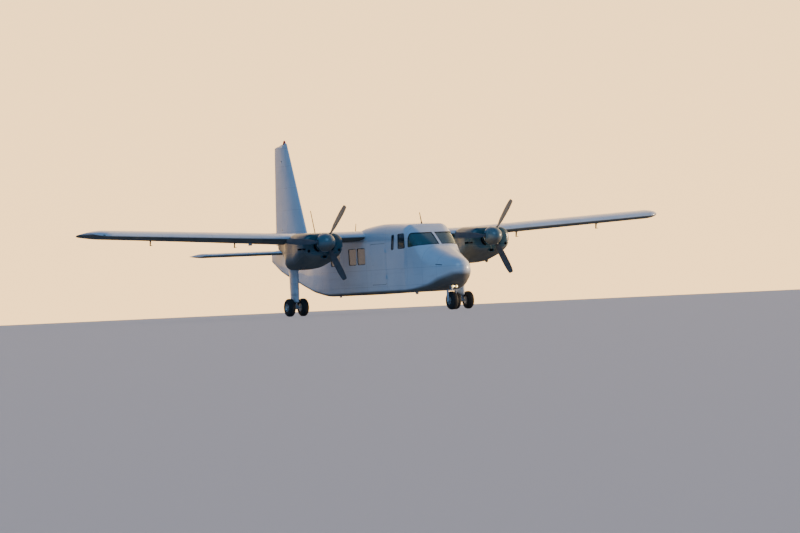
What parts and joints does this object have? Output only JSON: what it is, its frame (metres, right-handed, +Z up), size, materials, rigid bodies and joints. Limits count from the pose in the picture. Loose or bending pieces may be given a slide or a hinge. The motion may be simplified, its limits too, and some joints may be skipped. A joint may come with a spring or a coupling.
{
  "type": "twin-engined light utility aeroplane",
  "caption": "High-wing light utility aeroplane with wing-mounted piston engines, fixed tricycle gear, opening doors, seated cabin and hinged control surfaces.",
  "frame": {"origin": "on the floor the tyres stand on, midway along the aeroplane and midway between its wing tips", "axes": "+X towards the port wing tip, +Y towards the tail, +Z up"},
  "size_m": [14.94, 10.86, 4.4],
  "materials": {
    "white_paint": "gloss",
    "nacelle_paint": "gloss",
    "glass": "polished",
    "tyre": "matte",
    "alloy": "satin",
    "chrome": "polished",
    "engine_iron": "matte",
    "propeller_metal": "satin",
    "cloth": "matte",
    "carpet": "matte",
    "black_plastic": "matte"
  },
  "bodies": {
    "airframe": {"nose": "white_paint", "cabin_shell": "white_paint", "tail_cone": "white_paint", "fin": "white_paint", "tailplane": "white_paint", "wing_centre": "white_paint", "wing_outer_port": "white_paint", "wing_outer_starboard": "white_paint", "cowl_port": "nacelle_paint", "cowl_starboard": "nacelle_paint", "nacelle_port": "nacelle_paint", "nacelle_starboard": "nacelle_paint", "engine_port": "engine_iron", "engine_starboard": "engine_iron", "main_leg_port": "white_paint", "main_leg_starboard": "white_paint", "main_piston_port": "chrome", "main_piston_starboard": "chrome", "nose_leg": "alloy", "rear_window": "glass", "windscreen_port": "glass", "windscreen_starboard": "glass", "cockpit_window_port": "glass", "cockpit_window_starboard": "glass", "cabin_window_port": "glass", "cabin_window_starboard": "glass", "cabin_floor": "carpet", "rear_bulkhead": "black_plastic", "instrument_panel": "black_plastic", "front_seat_port": "cloth", "front_seat_starboard": "cloth", "cabin_benches": "cloth", "cockpit_aerial": "black_plastic", "roof_aerial": "black_plastic"},
    "port_propeller": {"propeller_port": "propeller_metal", "spinner_port": "nacelle_paint"},
    "starboard_propeller": {"propeller_starboard": "propeller_metal", "spinner_starboard": "nacelle_paint"},
    "port_main_wheels": {"main_wheels_port": "alloy", "main_tyre_inner_port": "tyre", "main_tyre_outer_port": "tyre"},
    "starboard_main_wheels": {"main_wheels_starboard": "alloy", "main_tyre_inner_starboard": "tyre", "main_tyre_outer_starboard": "tyre"},
    "nose_steering": {"nose_fork": "white_paint"},
    "nose_wheel_and_tyre": {"nose_wheel": "alloy", "nose_tyre": "tyre"},
    "rudder_surface": {"rudder": "white_paint"},
    "elevator_surface": {"elevator": "white_paint"},
    "port_inboard_flap": {"flap_inboard_port": "white_paint"},
    "starboard_inboard_flap": {"flap_inboard_starboard": "white_paint"},
    "port_outboard_flap": {"flap_outboard_port": "white_paint"},
    "starboard_outboard_flap": {"flap_outboard_starboard": "white_paint"},
    "port_aileron": {"aileron_port": "white_paint"},
    "starboard_aileron": {"aileron_starboard": "white_paint"},
    "pilot_door_leaf": {"pilot_door": "white_paint"},
    "starboard_door_leaf": {"starboard_door": "white_paint"},
    "rear_door_leaf": {"rear_door": "white_paint", "rear_door_window": "glass"},
    "baggage_door_leaf": {"baggage_door": "white_paint"}
  },
  "joints": [
    {"name": "port_propeller_spin", "type": "hinge", "parent": "airframe", "child": "port_propeller", "pos_m": [2.2, -2.58, 1.72], "axis": [0, 1, 0], "continuous": true},
    {"name": "port_main_wheels_roll", "type": "hinge", "parent": "airframe", "child": "port_main_wheels", "pos_m": [2.2, -0.73, 0.215], "axis": [1, 0, 0], "continuous": true},
    {"name": "starboard_propeller_spin", "type": "hinge", "parent": "airframe", "child": "starboard_propeller", "pos_m": [-2.2, -2.58, 1.72], "axis": [0, 1, 0], "continuous": true},
    {"name": "starboard_main_wheels_roll", "type": "hinge", "parent": "airframe", "child": "starboard_main_wheels", "pos_m": [-2.2, -0.73, 0.215], "axis": [1, 0, 0], "continuous": true},
    {"name": "nose_steer", "type": "hinge", "parent": "airframe", "child": "nose_steering", "pos_m": [0, -4.72, 0.5], "axis": [0, 0, 1], "range_deg": [-30, 30]},
    {"name": "nose_wheel_roll", "type": "hinge", "parent": "nose_steering", "child": "nose_wheel_and_tyre", "pos_m": [0, -4.72, 0.215], "axis": [1, 0, 0], "continuous": true},
    {"name": "rudder_hinge", "type": "hinge", "parent": "airframe", "child": "rudder_surface", "pos_m": [0, 4.65, 3.015], "axis": [0, -0.0571, 0.9984], "range_deg": [-22, 22]},
    {"name": "elevator_hinge", "type": "hinge", "parent": "airframe", "child": "elevator_surface", "pos_m": [0, 5.002, 1.6], "axis": [1, 0, 0], "range_deg": [-15, 25]},
    {"name": "port_inboard_flap_hinge", "type": "hinge", "parent": "airframe", "child": "port_inboard_flap", "pos_m": [1.425, 0.22871, 1.80373], "axis": [-1, 0, 0], "range_deg": [0, 56]},
    {"name": "port_outboard_flap_hinge", "type": "hinge", "parent": "airframe", "child": "port_outboard_flap", "pos_m": [3.705, 0.16968, 1.89647], "axis": [-0.9974, 0.0392, -0.0612], "range_deg": [0, 56]},
    {"name": "port_aileron_hinge", "type": "hinge", "parent": "airframe", "child": "port_aileron", "pos_m": [5.825, 0.08625, 2.02503], "axis": [0.9974, -0.0393, 0.06], "range_deg": [-16, 25]},
    {"name": "starboard_inboard_flap_hinge", "type": "hinge", "parent": "airframe", "child": "starboard_inboard_flap", "pos_m": [-1.425, 0.22871, 1.80373], "axis": [-1, 0, 0], "range_deg": [0, 56]},
    {"name": "starboard_outboard_flap_hinge", "type": "hinge", "parent": "airframe", "child": "starboard_outboard_flap", "pos_m": [-3.705, 0.16968, 1.89647], "axis": [-0.9974, -0.0392, 0.0612], "range_deg": [0, 56]},
    {"name": "starboard_aileron_hinge", "type": "hinge", "parent": "airframe", "child": "starboard_aileron", "pos_m": [-5.825, 0.08625, 2.02503], "axis": [0.9974, 0.0393, -0.06], "range_deg": [-16, 25]},
    {"name": "pilot_door_hinge", "type": "hinge", "parent": "airframe", "child": "pilot_door_leaf", "pos_m": [0.621, -2.47, 1.15], "axis": [0, 0, -1], "range_deg": [0, 80]},
    {"name": "starboard_door_hinge", "type": "hinge", "parent": "airframe", "child": "starboard_door_leaf", "pos_m": [-0.621, -2.47, 1.15], "axis": [0, 0, 1], "range_deg": [0, 80]},
    {"name": "rear_door_hinge", "type": "hinge", "parent": "airframe", "child": "rear_door_leaf", "pos_m": [0.621, -0.03, 1.15], "axis": [0, 0, -1], "range_deg": [0, 80]},
    {"name": "baggage_door_hinge", "type": "hinge", "parent": "airframe", "child": "baggage_door_leaf", "pos_m": [0.61243, 0.87, 1.13], "axis": [0, 0, -1], "range_deg": [0, 80]}
  ]
}
